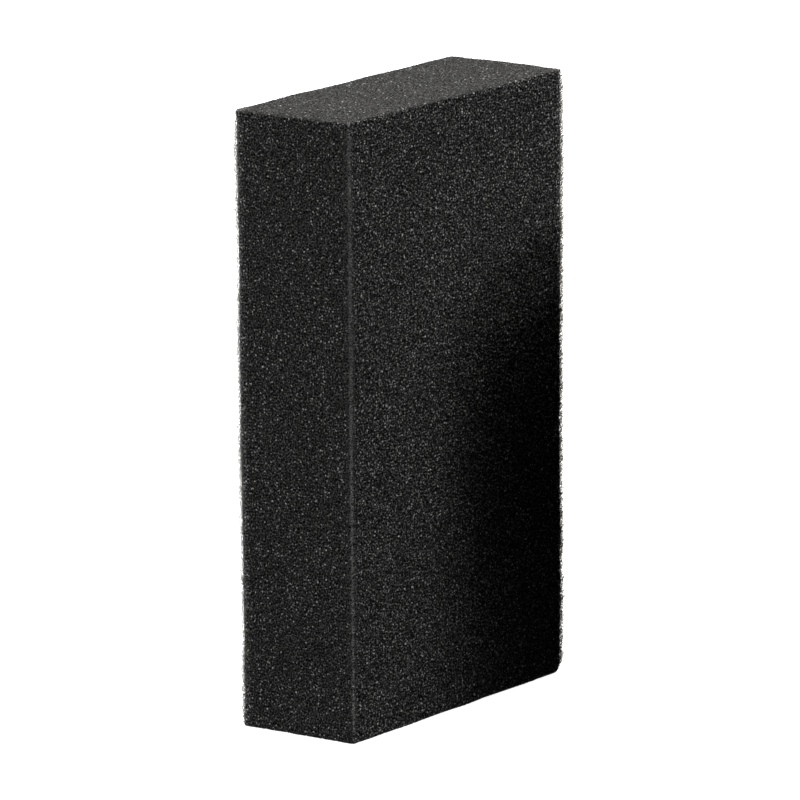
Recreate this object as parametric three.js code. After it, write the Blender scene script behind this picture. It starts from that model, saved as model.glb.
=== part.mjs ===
// A chalkboard eraser: one rectangular block cut from a bun of soft open-cell foam.
//
// Millimetres, +Z up. The block stands on one of its two small ends. X runs along its
// width, Y through its thickness and Z along its length, and the origin is the middle
// of the end that it stands on.

import { Group, Mesh, MeshStandardMaterial } from 'three';
import { RoundedBoxGeometry } from 'three/addons/geometries/RoundedBoxGeometry.js';

// Driving dimensions
const WIDTH = 70;
const THICKNESS = 26;
const LENGTH = 120;

// The knife leaves square edges, which the cut cells along them soften a little.
const EDGE_RADIUS = 0.6;
const EDGE_SEGMENTS = 3;

// Foam dyed dark grey right through
const FOAM_COLOUR = 0x2b2b2b;

function foamMaterial() {
  return new MeshStandardMaterial({
    name: 'open_cell_foam',
    color: FOAM_COLOUR,
    roughness: 0.9,
    metalness: 0,
  });
}

// The block is solid foam from face to face, with no backing, grip or glued layer.
function foamBlock() {
  const geometry = new RoundedBoxGeometry(WIDTH, THICKNESS, LENGTH, EDGE_SEGMENTS, EDGE_RADIUS);
  const mesh = new Mesh(geometry, foamMaterial());
  mesh.name = 'foam_block';
  mesh.position.z = LENGTH / 2;
  return mesh;
}

const eraser = new Group();
eraser.add(foamBlock());

export default eraser;
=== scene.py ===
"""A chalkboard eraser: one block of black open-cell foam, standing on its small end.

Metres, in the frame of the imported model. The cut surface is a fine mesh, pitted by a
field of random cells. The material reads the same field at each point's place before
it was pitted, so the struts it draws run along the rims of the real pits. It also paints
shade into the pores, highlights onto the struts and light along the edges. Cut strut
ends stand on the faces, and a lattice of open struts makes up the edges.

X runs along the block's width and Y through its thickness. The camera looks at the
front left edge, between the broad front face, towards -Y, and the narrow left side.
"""
import itertools
import math

import bpy
import numpy as np
from mathutils import Matrix, Vector


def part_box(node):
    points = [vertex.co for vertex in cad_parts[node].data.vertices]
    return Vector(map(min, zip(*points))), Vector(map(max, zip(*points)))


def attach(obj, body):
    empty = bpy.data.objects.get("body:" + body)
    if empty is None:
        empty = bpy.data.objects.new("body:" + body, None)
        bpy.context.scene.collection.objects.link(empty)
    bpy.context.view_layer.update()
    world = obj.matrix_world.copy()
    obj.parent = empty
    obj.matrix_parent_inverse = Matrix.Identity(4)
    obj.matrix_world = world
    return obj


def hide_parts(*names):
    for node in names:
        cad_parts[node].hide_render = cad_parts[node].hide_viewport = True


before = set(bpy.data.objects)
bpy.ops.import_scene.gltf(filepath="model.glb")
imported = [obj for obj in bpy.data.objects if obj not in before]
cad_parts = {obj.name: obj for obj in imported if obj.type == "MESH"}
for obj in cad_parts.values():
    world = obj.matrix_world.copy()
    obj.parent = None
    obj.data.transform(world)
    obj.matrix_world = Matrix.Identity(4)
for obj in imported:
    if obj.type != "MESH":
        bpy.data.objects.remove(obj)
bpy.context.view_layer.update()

MM = 0.001
BLOCK = "foam_block"
BODY = "root"
BLOCK_LOW, BLOCK_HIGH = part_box(BLOCK)
BLOCK_SIZE = BLOCK_HIGH - BLOCK_LOW
BLOCK_CENTRE = (BLOCK_LOW + BLOCK_HIGH) / 2
SEED = 11
TINY = 1e-9                # keeps a divisor above 0

# ---------------------------------------------------------------- surface mesh
GRID = 0.2 * MM
SWELL = 0.15 * MM          # how far the cut surface stands proud of the model's faces
SURFACE_SIZE = BLOCK_SIZE + SWELL * Vector((2, 2, 1))
SURFACE_CENTRE = BLOCK_CENTRE + Vector((0, 0, SWELL / 2))
EDGE_RADIUS = 0.65 * MM    # of the solid surface, which leaves the sharp edges to open struts
FRAY_DEPTH = 0.6 * MM      # how far it draws back at the upright edges, under the struts
FRAY_BAND = 1.2 * MM       # and how wide the band is that draws back
FRAY_RIGHT = 1.3           # both are this many times more at the two right hand edges
END_FADE = 3 * MM          # the drawing back fades out over this much at the block's ends
PLACE = "cut_place"        # a vertex's place before it was pitted
FACING = "cut_normal"      # its direction out of the block
EDGE_GAP = "edge_gap"      # its distance from the nearest edge
GLOW_GAP = "glow_gap"      # and from the nearest upright edge with painted glow

# shape of the block as a whole
FLARE = 0.0125             # share by which the top is wider and thicker than the foot
WORN_REACH = 2.4 * MM      # the lower right front corner is crushed over this far
WORN_DEPTH = (-0.45 * MM, 0.4 * MM, 0.2 * MM)
WAVES = 24                 # the cut strays from flat by a sum of waves
WAVE_LENGTH = (5 * MM, 40 * MM)
WAVE_HEIGHT = 0.08 * MM    # one wave of this height is as rough as their sum

# foam cells
CELL = 0.62 * MM
CELL_RANDOMNESS = 0.95
RISE = 1.3                 # how much longer cells are along the foam's rise, the block's width
PIT_DEPTH = 0.22 * MM
PIT_RIM = 0.34             # share of a cell over which a pit falls to its floor
PIT_LEAST = 0.45           # the shallowest pit, as a share of the deepest

# ---------------------------------------------------------------- open struts
WEB_PERIOD = 4             # units after which the edge lattice of 14-sided cells repeats
WEB_UNIT = CELL / WEB_PERIOD
WEB_BAND = 1.4 * MM        # how far its struts reach from an upright edge
WEB_BAND_RIGHT = 1.7 * MM  # and from a right hand one
WEB_END_BAND = 0.5 * MM    # and from an edge of an end
WEB_ROOT = 0.2 * MM        # and how far into the solid surface
WEB_JITTER = 0.2 * WEB_UNIT
WEB_WARP = 0.3 * MM        # a slow wave bends its rows
WEB_WARP_SIZE = 3.5 * MM
WEB_RADIUS = (0.035 * MM, 0.065 * MM)
WEB_PROUD = (0.3 * MM, 0.35 * MM, 0.05 * MM)    # how far past the faces the struts reach, by axis
WEB_RAGGED = 0.35 * MM     # how much shorter torn ones are
WEB_FLOOR = 0.3 * MM       # none starts lower than this over the floor
WEB_LOWEST = WEB_FLOOR / 2    # and none reaches lower than this
WEB_SHADES = 2             # how many of the strut shades they take at random, from the dullest, before painted light
LATTICE_SPAN = 4096        # more periods than there are along any axis
QUARTERS = ("front_left", "front_right", "back_left", "back_right")

# the lattice's struts are painted some shades brighter at the back left, the right and the front left
# edges, as painted light standing in for light that comes through, and that falls to none this far from
# the edge
WEB_LIFT = (2.4, 1.1, 1.7)
WEB_BRIGHT = (2.2 * MM, 3.0 * MM, 0.6 * MM)

# strut ends left standing on the faces by the knife
ENDS = 16000
END_LENGTH = (0.1 * MM, 0.28 * MM)
END_RADIUS = 0.055 * MM
END_TIP = 0.6              # a tip's radius as a share of its root's
END_LEAN = 1.2             # how far they lean, as a share of the way out of the face
END_ROOT = 0.1 * MM
RIM_SINK = 0.25            # share of the pit depth that still counts as rim
RIM_FACING = -0.2          # and no end stands on a surface that faces further down than this
END_SHADES = 3             # how many of the strut shades the ends use, from the dullest

# both
STRUT_STEEP = 0.9          # a strut steeper than this share of straight up takes its sides from X
# the dullest are the struts' own random tones (the ends take three of them at random); the lattice
# reaches the brighter ones only by painted light beside the upright edges
STRUT_SHADES = (0.04, 0.11, 0.24, 0.5)
STRUT_ROUGHNESS = 0.45
STRUT_SPECULAR = 0.1

# ---------------------------------------------------------------- foam material
SHADE = 0.036              # of a strut in the cut surface
BRIGHTEST = 0.6
NET_LAYERS = 3             # struts are drawn at the surface and at steps below it
NET_STEP = 0.3 * MM
NET_FADE = 0.5             # each step is this much dimmer than the one above, as painted shade deeper in the pores
NET_WALL = (0.04, 0.21)    # a strut fades over these shares of a cell, from its middle
SPECK_SIZE = 0.33 * MM
SPECK_SPREAD = (8.1, 12.2, 4.7)    # doublings from darkest to brightest, facing X, Y, Z; the grain is random tone, and how it differs between faces is painted light
# painted highlights: spots of brighter colour that stand in for strut facets catching the light
GLINT_CELL = 0.60 * MM
GLINT_RADIUS = 0.35        # share of a glint's cell
GLINT_CORE = 0.4           # share of the radius that is fully bright
GLINT_RARITY = 4.0         # the higher, the fewer are bright
GLINT_LIFT = (14.0, 22.0, 12.0)    # the brightest, facing X, Y, Z, strongest where the light falls best: painted highlights
EDGE_BAND = 0.8 * MM       # painted light: beside an edge the pores are painted lighter, as if light leaked in from both sides,
EDGE_BLEND = 0.6           # so the grain there fades by this share
EDGE_PAINTED_LIGHT = 1.2           # towards this even, lighter value
GLOW = 4.0                 # painted light: the colour is made up to this many times brighter at three of the upright edges, as if light from behind showed through
GLOW_BAND = 2.6 * MM       # and falls to none this far from them
BUMP_HEIGHT = 0.06 * MM
BUMP_STRENGTH = 0.8
ROUGHNESS = (0.95, 0.5)    # in the pores and on the struts
SPECULAR = 0.03

# ---------------------------------------------------------------- camera and studio
CAMERA_AZIMUTH = math.radians(-54.46)
CAMERA_ELEVATION = math.radians(12.11)
CAMERA_ROLL = math.radians(-0.398)
CAMERA_LENS = 378.9
CAMERA_SENSOR = 36
CAMERA_REACH = 20
CAMERA_DISTANCE = 13.51 * BLOCK_SIZE.z
AIM_RIGHT = -0.0043 * BLOCK_SIZE.z
AIM_UP = -0.0067 * BLOCK_SIZE.z

AMBIENT = 0.33             # the light of the surround, which the camera sees as white
SOFTBOX_PLACE = (-0.055, -0.015, 0.9)
SOFTBOX_SIZE = (0.7, 0.7)
SOFTBOX_WATTS = 17.2
SOFTBOX_COLOUR = (1, 0.98, 0.945)
RIM_AIM = (0, 0, 0.05)
RIM_RIGHT_PLACE = (0.65, 0.12, 0.05)
RIM_RIGHT_SIZE = (0.2, 0.15)
RIM_RIGHT_WATTS = 5
RIM_RIGHT_COLOUR = (1, 0.9, 0.72)
RIM_BACK_PLACE = (0.05, 0.7, 0.05)
RIM_BACK_SIZE = (0.5, 0.15)
RIM_BACK_WATTS = 3.5

FLOOR_HALF = 4.0
FLOOR_DROP = 0.05 * MM     # clear of the block's foot
FLOOR_SHADE = 0.85
FLOOR_ROUGHNESS = 0.9
FLOOR_LIGHT = 0.97         # the photo's floor is evenly white, with no shadow

# a card in X and Z, in mm, that stands in front of the broad face and leans away below
CARD = [(-4.5, -200), (110, -200), (110, 92), (30, 89), (10, 84), (-4.5, 68)]
CARD_TOP = 94              # in mm, where it would be CARD_GAP mm from the face
CARD_GAP = 3.2
CARD_LEAN = 0.15           # and this much further for each mm below


# ---------------------------------------------------------------- helpers
class Nodes:
    """Adds and links nodes of one tree."""

    def __init__(self, tree):
        self.tree = tree

    def add(self, kind, inputs=None, **settings):
        """A new node with these settings, its named inputs fed with numbers or sockets."""
        node = self.tree.nodes.new(kind)
        for name, value in settings.items():
            setattr(node, name, value)
        for name, value in (inputs or {}).items():
            self.feed(node.inputs[name], value)
        return node

    def feed(self, socket, value):
        if isinstance(value, bpy.types.NodeSocket):
            self.tree.links.new(value, socket)
        else:
            socket.default_value = value

    def maths(self, operation, first, second):
        """The result of a sum on two numbers or sockets."""
        return self.add("ShaderNodeMath", {0: first, 1: second}, operation=operation).outputs[0]

    def vector(self, operation, first, inputs):
        """The vector that an operation gives for a first vector and its other inputs."""
        node = self.add("ShaderNodeVectorMath", {0: first, **inputs}, operation=operation)
        return node.outputs["Vector"]

    def ramp(self, value, low, high, to_low=0.0, to_high=1.0, kind="SMOOTHSTEP"):
        """A value carried from the range low to high to another range, and held at its ends."""
        inputs = {"Value": value, "From Min": low, "From Max": high, "To Min": to_low, "To Max": to_high}
        return self.add("ShaderNodeMapRange", inputs, interpolation_type=kind).outputs["Result"]

    def shrink(self, place):
        """The place with the foam's rise taken out, so that cells come out longer that way."""
        return self.vector("MULTIPLY", place, {1: (1 / RISE, 1, 1)})

    def cells(self, place, feature, size=CELL):
        """The field of random cells at a place."""
        inputs = {"Vector": self.shrink(place), "Scale": 1 / size, "Randomness": CELL_RANDOMNESS}
        return self.add("ShaderNodeTexVoronoi", inputs, voronoi_dimensions="3D", feature=feature)

    def noise(self, place, size):
        """A smooth random number from 0 to 1 at a place."""
        inputs = {"Vector": self.shrink(place), "Scale": 1 / size, "Detail": 0.0}
        return self.add("ShaderNodeTexNoise", inputs, noise_dimensions="3D").outputs[0]

    def chance(self, cell):
        """A random number for each cell."""
        return self.add("ShaderNodeSeparateXYZ", {0: cell.outputs["Color"]}).outputs[0]


def new_object(name, data):
    thing = bpy.data.objects.new(name, data)
    bpy.context.scene.collection.objects.link(thing)
    return thing


def polygon_mesh(name, points, faces):
    """A mesh from arrays of points and of faces, all with the same number of corners."""
    mesh = bpy.data.meshes.new(name)
    mesh.vertices.add(len(points))
    mesh.vertices.foreach_set("co", points.astype(np.float32).ravel())
    mesh.loops.add(faces.size)
    mesh.loops.foreach_set("vertex_index", faces.astype(np.int32).ravel())
    mesh.polygons.add(len(faces))
    starts = np.arange(0, faces.size, faces.shape[1], dtype=np.int32)
    mesh.polygons.foreach_set("loop_start", starts)
    mesh.update(calc_edges=True)
    return mesh


def add_vectors(mesh, name, values):
    """Stores a vector for each vertex, where nodes can read it."""
    layer = mesh.attributes.new(name, "FLOAT_VECTOR", "POINT")
    layer.data.foreach_set("vector", values.astype(np.float32).ravel())


def add_numbers(mesh, name, values):
    """Stores a number for each vertex, where nodes can read it."""
    layer = mesh.attributes.new(name, "FLOAT", "POINT")
    layer.data.foreach_set("value", values.astype(np.float32))


def read_vectors(data, name, count):
    """An array of the vectors that a mesh holds under a name."""
    values = np.empty(count * 3, np.float32)
    data.foreach_get(name, values)
    return values.reshape(-1, 3)


# ---------------------------------------------------------------- shape of the cut
def outside(points):
    """How far each point lies outside the block's faces along each axis, less than 0 inside."""
    return np.abs(points - np.array(SURFACE_CENTRE)) - np.array(SURFACE_SIZE) / 2


def front_left(points):
    """Which points are in the quarter of the block round its front left edge."""
    return (points < SURFACE_CENTRE)[:, :2].all(1)


def on_right(points):
    """Which points are in the right hand half of the block."""
    return points[:, 0] > SURFACE_CENTRE.x


def stray(points):
    """How far the knife strayed inwards at each point, less than 0 outwards."""
    rng = np.random.default_rng(SEED)
    way = rng.normal(0, 1, (3, WAVES))
    way /= np.linalg.norm(way, axis=0) * rng.uniform(*WAVE_LENGTH, WAVES)
    waves = np.sin(2 * math.pi * points @ way + rng.uniform(0, 2 * math.pi, WAVES))
    return WAVE_HEIGHT * waves.sum(1) / math.sqrt(WAVES)


def end_fade(points):
    """0 at the block's two ends, rising to 1 a short way in."""
    return np.clip(-outside(points)[:, 2] / END_FADE, 0, 1)


def frayed(points, gap):
    """How far the solid surface draws back at a distance from an upright edge."""
    scale = np.where(on_right(points), FRAY_RIGHT, 1)
    nearness = np.clip(1 - gap / (scale * FRAY_BAND), 0, 1)
    return scale * FRAY_DEPTH * nearness ** 2 * end_fade(points)


def shaped(points):
    """The points, with the block flared a touch towards its top and its crushed corner drawn in."""
    height = (points[:, 2:] - BLOCK_LOW.z) / BLOCK_SIZE.z
    flare = 1 + height * np.array((FLARE, FLARE, 0))
    corner = np.array((BLOCK_HIGH.x, BLOCK_LOW.y, BLOCK_LOW.z))
    nearness = np.clip(1 - np.linalg.norm(points - corner, axis=1) / WORN_REACH, 0, 1)[:, None]
    return points * flare + np.array(WORN_DEPTH) * nearness ** 2 * (3 - 2 * nearness)


def lattice_faces(counts):
    """Integer corners of every surface quad of a box of counts cells, facing outwards."""
    quads = []
    for axis in range(3):
        u_axis, v_axis = (axis + 1) % 3, (axis + 2) % 3
        u, v = np.meshgrid(np.arange(counts[u_axis]), np.arange(counts[v_axis]), indexing="ij")
        for level, turn in ((0, -1), (counts[axis], 1)):
            corners = []
            for du, dv in ((0, 0), (1, 0), (1, 1), (0, 1))[::turn]:
                corner = np.empty((u.size, 3), np.int64)
                corner[:, axis] = level
                corner[:, u_axis] = u.ravel() + du
                corner[:, v_axis] = v.ravel() + dv
                corners.append(corner)
            quads.append(np.stack(corners, 1))
    return np.concatenate(quads)


def block_grid():
    """Points, outward directions and quads of the block's surface, with its edges rounded."""
    size = np.array(SURFACE_SIZE)
    counts = np.round(size / GRID).astype(int)
    corners = lattice_faces(counts)
    keys = np.ravel_multi_index(tuple(corners.reshape(-1, 3).T), tuple(counts + 1))
    _, first, quads = np.unique(keys, return_index=True, return_inverse=True)
    point = (corners.reshape(-1, 3)[first] / counts - 0.5) * size
    core = np.clip(point, EDGE_RADIUS - size / 2, size / 2 - EDGE_RADIUS)
    facing = point - core
    facing /= np.linalg.norm(facing, axis=1, keepdims=True)
    return core + facing * EDGE_RADIUS + np.array(SURFACE_CENTRE), facing, quads.reshape(-1, 4)


def pitting():
    """A node group that sinks each vertex into its cell's pit, along its outward direction."""
    group = bpy.data.node_groups.new("foam_pits", "GeometryNodeTree")
    group.interface.new_socket("Geometry", in_out="INPUT", socket_type="NodeSocketGeometry")
    group.interface.new_socket("Geometry", in_out="OUTPUT", socket_type="NodeSocketGeometry")
    n = Nodes(group)
    reader = "GeometryNodeInputNamedAttribute"
    place = n.add(reader, {"Name": PLACE}, data_type="FLOAT_VECTOR").outputs[0]
    facing = n.add(reader, {"Name": FACING}, data_type="FLOAT_VECTOR").outputs[0]
    wall = n.cells(place, "DISTANCE_TO_EDGE").outputs["Distance"]
    deepest = n.ramp(n.chance(n.cells(place, "F1")), 0, 1, PIT_LEAST, 1.0, "LINEAR")
    depth = n.maths("MULTIPLY", n.ramp(wall, 0.0, PIT_RIM), deepest)
    sink = n.maths("MULTIPLY", depth, -PIT_DEPTH)
    offset = n.vector("SCALE", facing, {"Scale": sink})
    source = n.add("NodeGroupInput").outputs[0]
    moved = n.add("GeometryNodeSetPosition", {"Geometry": source, "Offset": offset})
    n.add("NodeGroupOutput", {0: moved.outputs[0]})
    return group


def foam_cut():
    """The block's whole cut surface, with a real pit for every cell that the knife opened."""
    points, facing, quads = block_grid()
    upright_gap = -outside(points)[:, :2].min(1)
    sink = stray(points) + frayed(points, upright_gap)
    mesh = polygon_mesh("foam_cut", shaped(points - facing * sink[:, None]), quads)
    add_vectors(mesh, PLACE, points)
    add_vectors(mesh, FACING, facing)
    add_numbers(mesh, EDGE_GAP, -np.sort(outside(points), 1)[:, 1])
    # the front left edge gets no painted glow
    add_numbers(mesh, GLOW_GAP, upright_gap + np.where(front_left(points), GLOW_BAND, 0))
    cut = new_object("foam_cut", mesh)
    cut.modifiers.new("pits", "NODES").node_group = pitting()
    graph = bpy.context.evaluated_depsgraph_get()
    cut.data = bpy.data.meshes.new_from_object(cut.evaluated_get(graph))
    cut.modifiers.clear()
    cut.data.shade_smooth()
    cut.data.name = "foam_cut"
    return cut


# ---------------------------------------------------------------- shape of the struts
def across(directions):
    """Two directions square to each given one."""
    helper = np.where(np.abs(directions[:, 2:]) < STRUT_STEEP, (0, 0, 1), (1, 0, 0))
    first = np.cross(directions, helper)
    first /= np.linalg.norm(first, axis=1, keepdims=True)
    return first, np.cross(directions, first)


def strut_mesh(name, starts, ends, start_radius, end_radius, shades, rng):
    """Closed three-sided struts, each between two points and of one of the strut shades."""
    way = ends - starts
    way /= np.linalg.norm(way, axis=1, keepdims=True)
    one, other = across(way)
    turn = rng.uniform(0, 2 * math.pi, (len(way), 1))
    turns = [turn + k * 2 * math.pi / 3 for k in range(3)]
    spokes = [one * np.cos(angle) + other * np.sin(angle) for angle in turns]
    ring = [starts + start_radius * spoke for spoke in spokes]
    ring += [ends + end_radius * spoke for spoke in spokes]
    caps = [(0, 2, 1), (3, 4, 5)]
    walls = [(0, 1, 4), (0, 4, 3), (1, 2, 5), (1, 5, 4), (2, 0, 3), (2, 3, 5)]
    sides = np.array(caps + walls)
    faces = (np.arange(len(way))[:, None, None] * len(ring) + sides).reshape(-1, 3)
    mesh = polygon_mesh(name, np.stack(ring, 1).reshape(-1, 3), faces)
    mesh.polygons.foreach_set("material_index", np.repeat(shades, len(sides)).astype(np.int32))
    return new_object(name, mesh)


def strut_ends(cut):
    """Cut strut ends that stand on the rims between pits, all over the faces."""
    count = len(cut.vertices)
    point = read_vectors(cut.vertices, "co", count)
    place = read_vectors(cut.attributes[PLACE].data, "vector", count)
    facing = read_vectors(cut.attributes[FACING].data, "vector", count)
    rng = np.random.default_rng(SEED)
    sink = ((shaped(place) - point) * facing).sum(1) - stray(place)
    sink -= frayed(place, -outside(place)[:, :2].min(1))
    rims = np.flatnonzero((sink < RIM_SINK * PIT_DEPTH) & (facing[:, 2] > RIM_FACING))
    roots = rng.choice(rims, ENDS, replace=False)
    way = facing[roots] + END_LEAN * rng.uniform(-1, 1, (ENDS, 3))
    way /= np.linalg.norm(way, axis=1, keepdims=True)
    tips = point[roots] + way * rng.uniform(*END_LENGTH, (ENDS, 1))
    feet = point[roots] - facing[roots] * END_ROOT
    shades = rng.integers(0, END_SHADES, ENDS)
    return strut_mesh("strut_ends", feet, tips, END_RADIUS, END_RADIUS * END_TIP, shades, rng)


def cell_pattern():
    """One period of packed 14-sided cells: corners in units, and struts.

    A strut is the numbers of its two corners, and the period that the second one is in.
    """
    orders = (itertools.permutations((0, 1, 2)), itertools.permutations((0, 3, 2)))
    corners = sorted(itertools.chain(*orders))
    steps = [step for step in itertools.product((-1, 0, 1), repeat=3) if sum(map(abs, step)) == 2]
    struts = []
    for start, step in itertools.product(corners, steps):
        end = [a + b for a, b in zip(start, step)]
        wrapped = tuple(value % WEB_PERIOD for value in end)
        if step > (0, 0, 0) and wrapped in corners:
            periods = [value // WEB_PERIOD for value in end]
            struts.append((corners.index(start), corners.index(wrapped), *periods))
    return np.array(corners), np.array(struts)


def edge_periods():
    """Integer places of the lattice periods that lie along the block's edges."""
    period = WEB_PERIOD * WEB_UNIT
    reach = max(WEB_BAND, WEB_BAND_RIGHT) + WEB_WARP
    half = np.array(SURFACE_SIZE) / 2
    places = []
    for axis in range(3):
        others = [k for k in range(3) if k != axis]
        for signs in itertools.product((-1, 1), repeat=2):
            low, high = -half - reach, half + reach
            for other, sign in zip(others, signs):
                low[other] = sign * half[other] - reach
                high[other] = sign * half[other] + reach
            ends = zip(np.floor(low / period), np.ceil(high / period))
            spans = [np.arange(int(first), int(last)) for first, last in ends]
            places.append(np.stack(np.meshgrid(*spans, indexing="ij"), -1).reshape(-1, 3))
    return np.unique(np.concatenate(places), axis=0)


def lattice_corners(periods, corners, rng):
    """Where the lattice's corners lie, a little off their places as in real foam."""
    point = ((periods[:, None] * WEB_PERIOD + corners) * WEB_UNIT).reshape(-1, 3)
    phase = rng.uniform(0, 2 * math.pi, 3)
    point += WEB_WARP * np.sin(2 * math.pi * point[:, [1, 2, 0]] / WEB_WARP_SIZE + phase)
    return point + rng.normal(0, WEB_JITTER, point.shape) + np.array(SURFACE_CENTRE)


def lattice_struts(periods, corners, struts):
    """Pairs of corner numbers, one for each strut with both ends in the listed periods."""
    base = periods.min(0)
    places = (LATTICE_SPAN ** 2, LATTICE_SPAN, 1)
    keys = (periods - base) @ places
    wanted = (periods[:, None] + struts[:, 2:] - base) @ places
    slot = np.searchsorted(keys, wanted).clip(0, len(keys) - 1)
    start = np.arange(len(periods))[:, None] * len(corners) + struts[:, 0]
    end = slot * len(corners) + struts[:, 1]
    return np.stack([start, end], -1)[keys[slot] == wanted]


def in_open_air(point):
    """Which points lie outside the solid surface, or no deeper in it than a strut's root."""
    core = np.maximum(outside(point) + EDGE_RADIUS, 0)
    gap = -outside(point)[:, :2]
    drawn_back = np.stack([frayed(point, gap[:, 1]), frayed(point, gap[:, 0])], 1)
    past_edge = np.linalg.norm(core, axis=1) > EDGE_RADIUS - WEB_ROOT
    return past_edge | (gap < drawn_back + WEB_ROOT).any(1)


def near_edge(point, over):
    """Which points are within the band of an edge, from how far they lie past each face."""
    band = np.where(on_right(point), WEB_BAND_RIGHT, WEB_BAND)
    upright = over[:, :2].min(1) > -band
    return upright | (np.minimum(over[:, :2].max(1), over[:, 2]) > -WEB_END_BAND)


def strut_brightness(middle, rng):
    """A shade number for each strut: a dull tone at random, made brighter beside the upright edges by
    painted light.
    """
    from_edge = np.linalg.norm(outside(middle)[:, :2], axis=1)
    edge = on_right(middle) + 2 * front_left(middle)
    nearness = np.clip(1 - from_edge / np.array(WEB_BRIGHT)[edge], 0, 1)
    # random tone, plus painted light beside the upright edges
    shade = rng.uniform(0, WEB_SHADES, len(middle)) + np.array(WEB_LIFT)[edge] * nearness
    return np.minimum(shade, len(STRUT_SHADES) - 1).astype(int)


def edge_struts():
    """Open struts that fill the block's edges out from the drawn back solid surface.

    There is one mesh for each quarter of the block, so that none grows too big to export.
    """
    rng = np.random.default_rng(SEED + 1)
    corners, struts = cell_pattern()
    periods = edge_periods()
    point = lattice_corners(periods, corners, rng)
    radius = rng.uniform(*WEB_RADIUS, (len(point), 1))
    torn = np.repeat(rng.uniform(0, WEB_RAGGED, len(periods)), len(corners))[:, None]
    proud = np.array(WEB_PROUD) * end_fade(point)[:, None]
    over = outside(point) + stray(point)[:, None] - proud + torn
    height = point[:, 2] - BLOCK_LOW.z
    usable = near_edge(point, over) & in_open_air(point) & (height > WEB_LOWEST)
    inside = (over.max(1) < 0) & (height > WEB_FLOOR)
    pair = lattice_struts(periods, corners, struts)
    pair = pair[usable[pair].all(1) & inside[pair].any(1)]
    pair = np.where(inside[pair[:, :1]], pair, pair[:, ::-1])
    first, last = over[pair[:, 0]], over[pair[:, 1]]
    cut_at = -first / np.maximum(last - first, TINY)
    share = np.where(last > 0, cut_at, 1).min(1, keepdims=True)
    start, end = point[pair[:, 0]], point[pair[:, 1]]
    start, end = shaped(start), shaped(start + (end - start) * share)
    middle = (start + end) / 2
    shades = strut_brightness(middle, rng)
    quarter = on_right(middle) + 2 * (middle[:, 1] > SURFACE_CENTRE.y)
    webs = []
    for number, place in enumerate(QUARTERS):
        own = quarter == number
        radii = radius[pair[own, 0]], radius[pair[own, 1]]
        name = "edge_struts_" + place
        webs.append(strut_mesh(name, start[own], end[own], *radii, shades[own], rng))
    return webs


# ---------------------------------------------------------------- materials
def new_material(name):
    """A material with an empty tree, and what adds nodes to it."""
    material = bpy.data.materials.new(name)
    material.use_nodes = True
    material.node_tree.nodes.clear()
    return material, Nodes(material.node_tree)


def add_shader(n, inputs):
    """Gives a material its one shader, with these inputs and the rest plain."""
    shader = n.add("ShaderNodeBsdfPrincipled", inputs)
    n.add("ShaderNodeOutputMaterial", {"Surface": shader.outputs[0]})


def struts_and_painted_pore_shade(n, place, facing):
    """How much strut shows: 1 on the rims at the surface, less on those deeper down as painted shade,
    and none in the pores, which are painted dark as shade.
    """
    shown = None
    for layer in range(NET_LAYERS):
        depth = n.vector("SCALE", facing, {"Scale": layer * NET_STEP})
        below = n.vector("SUBTRACT", place, {1: depth})
        wall = n.cells(below, "DISTANCE_TO_EDGE").outputs["Distance"]
        strut = n.maths("MULTIPLY", n.ramp(wall, *NET_WALL, 1.0, 0.0), NET_FADE ** layer)
        shown = strut if shown is None else n.maths("MAXIMUM", shown, strut)
    return shown


def by_facing(n, facing, values):
    """The one of three values that goes with faces square to X, Y or Z, blended at edges."""
    inputs = {0: n.vector("ABSOLUTE", facing, {}), 1: values}
    return n.add("ShaderNodeVectorMath", inputs, operation="DOT_PRODUCT").outputs["Value"]


def specks(n, place, facing):
    """Fine grain that makes a strut brighter or darker by up to some doublings, with a spread per face
    that is painted light.
    """
    noise = n.maths("SUBTRACT", n.noise(place, SPECK_SIZE), 0.5)
    doublings = n.maths("MULTIPLY", noise, by_facing(n, facing, SPECK_SPREAD))
    return n.maths("POWER", 2.0, doublings)


def painted_glints(n, place, facing):
    """Painted highlights: scattered strut facets painted bright as if they caught the light, 0 nearly
    everywhere, up to GLINT_LIFT.
    """
    cell = n.cells(place, "F1", GLINT_CELL)
    dot = n.ramp(cell.outputs["Distance"], GLINT_RADIUS * GLINT_CORE, GLINT_RADIUS, 1.0, 0.0)
    rare = n.maths("POWER", n.chance(cell), GLINT_RARITY)
    return n.maths("MULTIPLY", dot, n.maths("MULTIPLY", rare, by_facing(n, facing, GLINT_LIFT)))


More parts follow.
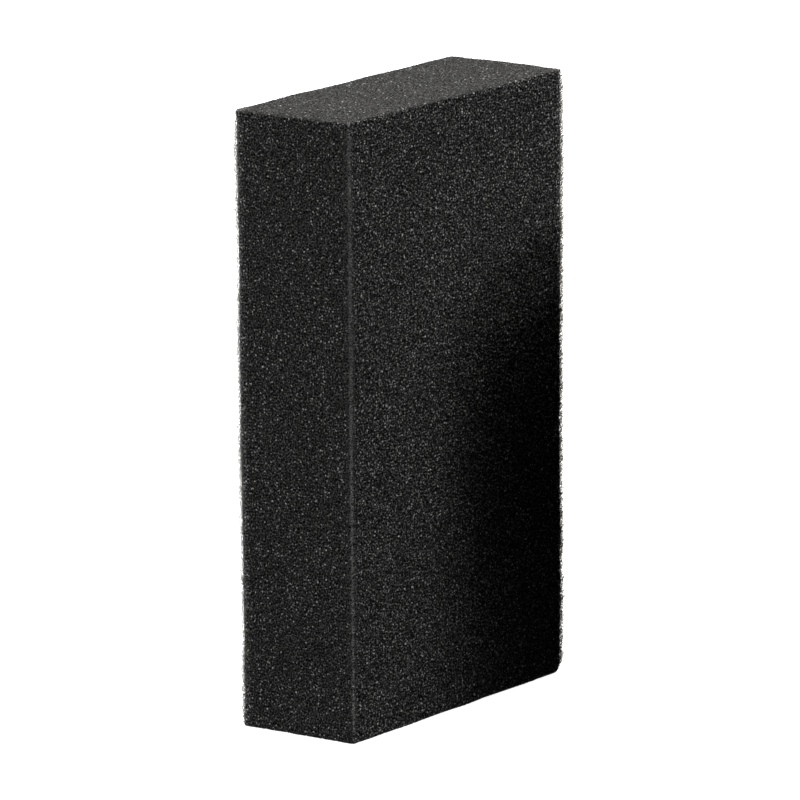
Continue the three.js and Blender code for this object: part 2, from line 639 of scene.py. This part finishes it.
def foam_material():
    """Black foam: a net of struts over pores painted dark as shade, with grain, painted highlights, and
    edges painted lighter as light.
    """
    material, n = new_material("open_cell_foam")
    place = n.add("ShaderNodeAttribute", attribute_name=PLACE).outputs["Vector"]
    facing = n.add("ShaderNodeAttribute", attribute_name=FACING).outputs["Vector"]
    edge_gap = n.add("ShaderNodeAttribute", attribute_name=EDGE_GAP).outputs["Fac"]
    glow_gap = n.add("ShaderNodeAttribute", attribute_name=GLOW_GAP).outputs["Fac"]
    # net draws the struts and carries the painted shade of the pores
    net = struts_and_painted_pore_shade(n, place, facing)
    speck = n.maths("MULTIPLY", net, specks(n, place, facing))
    # the grain, with the painted highlights added on the struts
    grain = n.maths("ADD", speck, n.maths("MULTIPLY", net, painted_glints(n, place, facing)))
    # painted light: next to every edge the grain fades towards a lighter, even value
    painted_edge_light = n.ramp(edge_gap, 0.0, EDGE_BAND, EDGE_BLEND, 0.0)
    blend = n.add("ShaderNodeMix", {"Factor": painted_edge_light, 2: grain, 3: EDGE_PAINTED_LIGHT}).outputs[0]
    # painted light: brighter towards three upright edges, as if lit from behind
    lit = n.maths("MULTIPLY", blend, n.ramp(glow_gap, 0.0, GLOW_BAND, GLOW, 1.0))
    bump = {"Height": net, "Distance": BUMP_HEIGHT, "Strength": BUMP_STRENGTH}
    add_shader(n, {
        "Base Color": n.maths("MINIMUM", n.maths("MULTIPLY", lit, SHADE), BRIGHTEST),
        "Roughness": n.ramp(net, 0, 1, *ROUGHNESS, "LINEAR"),
        "Normal": n.add("ShaderNodeBump", bump).outputs[0],
        "Specular IOR Level": SPECULAR,
    })
    return material


def strut_materials():
    """Plain shades for struts too thin to show any pattern, from dull to bright; the bright ones carry
    painted light beside the edges.
    """
    shades = []
    for number, shade in enumerate(STRUT_SHADES):
        material, n = new_material("cut_struts_%d" % number)
        add_shader(n, {
            "Base Color": (shade, shade, shade, 1),
            "Roughness": STRUT_ROUGHNESS,
            "Specular IOR Level": STRUT_SPECULAR,
        })
        shades.append(material)
    return shades


# ---------------------------------------------------------------- studio
def view_axes():
    """The camera's right, up and back directions."""
    a, e = CAMERA_AZIMUTH, CAMERA_ELEVATION
    back = Vector((math.sin(a) * math.cos(e), -math.cos(a) * math.cos(e), math.sin(e)))
    right = Vector((0, 0, 1)).cross(back).normalized()
    roll = Matrix.Rotation(CAMERA_ROLL, 3, back)
    return roll @ right, roll @ back.cross(right), back


def add_camera():
    right, up, back = view_axes()
    camera = new_object("camera", bpy.data.cameras.new("camera"))
    camera.data.lens = CAMERA_LENS
    camera.data.sensor_width = CAMERA_SENSOR
    camera.data.clip_end = CAMERA_REACH
    aim = BLOCK_CENTRE + right * AIM_RIGHT + up * AIM_UP
    turn = Matrix((right, up, back)).transposed()
    camera.matrix_world = Matrix.Translation(aim + back * CAMERA_DISTANCE) @ turn.to_4x4()
    bpy.context.scene.camera = camera


def add_light(name, place, aim, size, watts, colour=(1, 1, 1)):
    """A rectangular lamp of a width and height, turned to what it is aimed at."""
    light = bpy.data.lights.new(name, "AREA")
    light.shape = "RECTANGLE"
    light.size, light.size_y = size
    light.energy = watts
    light.color = colour
    lamp = new_object(name, light)
    lamp.location = place
    lamp.rotation_euler = (Vector(aim) - Vector(place)).to_track_quat("-Z", "Y").to_euler()


def add_world():
    """A white surround that gives less light than it shows."""
    world = bpy.data.worlds.new("studio")
    bpy.context.scene.world = world
    world.use_nodes = True
    world.node_tree.nodes.clear()
    n = Nodes(world.node_tree)
    seen = n.add("ShaderNodeLightPath").outputs["Is Camera Ray"]
    strength = n.ramp(seen, 0, 1, AMBIENT, 1.0, "LINEAR")
    back = n.add("ShaderNodeBackground", {"Color": (1, 1, 1, 1), "Strength": strength})
    n.add("ShaderNodeOutputWorld", {"Surface": back.outputs[0]})


def staged_sheet(name, corners, inputs):
    """A flat studio sheet with a plain shader, which isn't part of the object."""
    mesh = bpy.data.meshes.new(name)
    mesh.from_pydata(corners, [], [range(len(corners))])
    material, n = new_material(name)
    add_shader(n, inputs)
    mesh.materials.append(material)
    sheet = new_object(name, mesh)
    return sheet


def add_floor():
    """A pale floor, lit evenly. It throws no light on the block, which the surround does."""
    half, z = FLOOR_HALF, BLOCK_LOW.z - FLOOR_DROP
    corners = [(-half, -half, z), (half, -half, z), (half, half, z), (-half, half, z)]
    floor = staged_sheet("floor", corners, {
        "Base Color": (FLOOR_SHADE, FLOOR_SHADE, FLOOR_SHADE, 1),
        "Roughness": FLOOR_ROUGHNESS,
        "Emission Color": (1, 1, 1, 1),
        "Emission Strength": FLOOR_LIGHT,
    })
    floor.visible_diffuse = False
    floor.visible_glossy = False


def add_card():
    """A black card that shades the broad face's lower right, out of the camera's sight."""
    corners = []
    for x, z in CARD:
        gap = CARD_GAP + CARD_LEAN * (CARD_TOP - z)
        corners.append((x * MM, BLOCK_LOW.y - gap * MM, z * MM))
    card = staged_sheet("card", corners, {"Base Color": (0, 0, 0, 1), "Specular IOR Level": 0})
    card.visible_camera = False


def add_studio():
    add_camera()
    add_world()
    add_floor()
    add_light("softbox", SOFTBOX_PLACE, BLOCK_CENTRE, SOFTBOX_SIZE, SOFTBOX_WATTS, SOFTBOX_COLOUR)
    add_light("rim_right", RIM_RIGHT_PLACE, RIM_AIM, RIM_RIGHT_SIZE, RIM_RIGHT_WATTS, RIM_RIGHT_COLOUR)
    add_light("rim_back", RIM_BACK_PLACE, RIM_AIM, RIM_BACK_SIZE, RIM_BACK_WATTS)
    add_card()
    bpy.context.scene.view_settings.view_transform = "Standard"


# ---------------------------------------------------------------- the whole scene
block = foam_cut()
block.data.materials.append(foam_material())
struts = [strut_ends(block.data), *edge_struts()]
for piece, shade in itertools.product(struts, strut_materials()):
    piece.data.materials.append(shade)
for piece in (block, *struts):
    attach(piece, BODY)
    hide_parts(BLOCK)
add_studio()
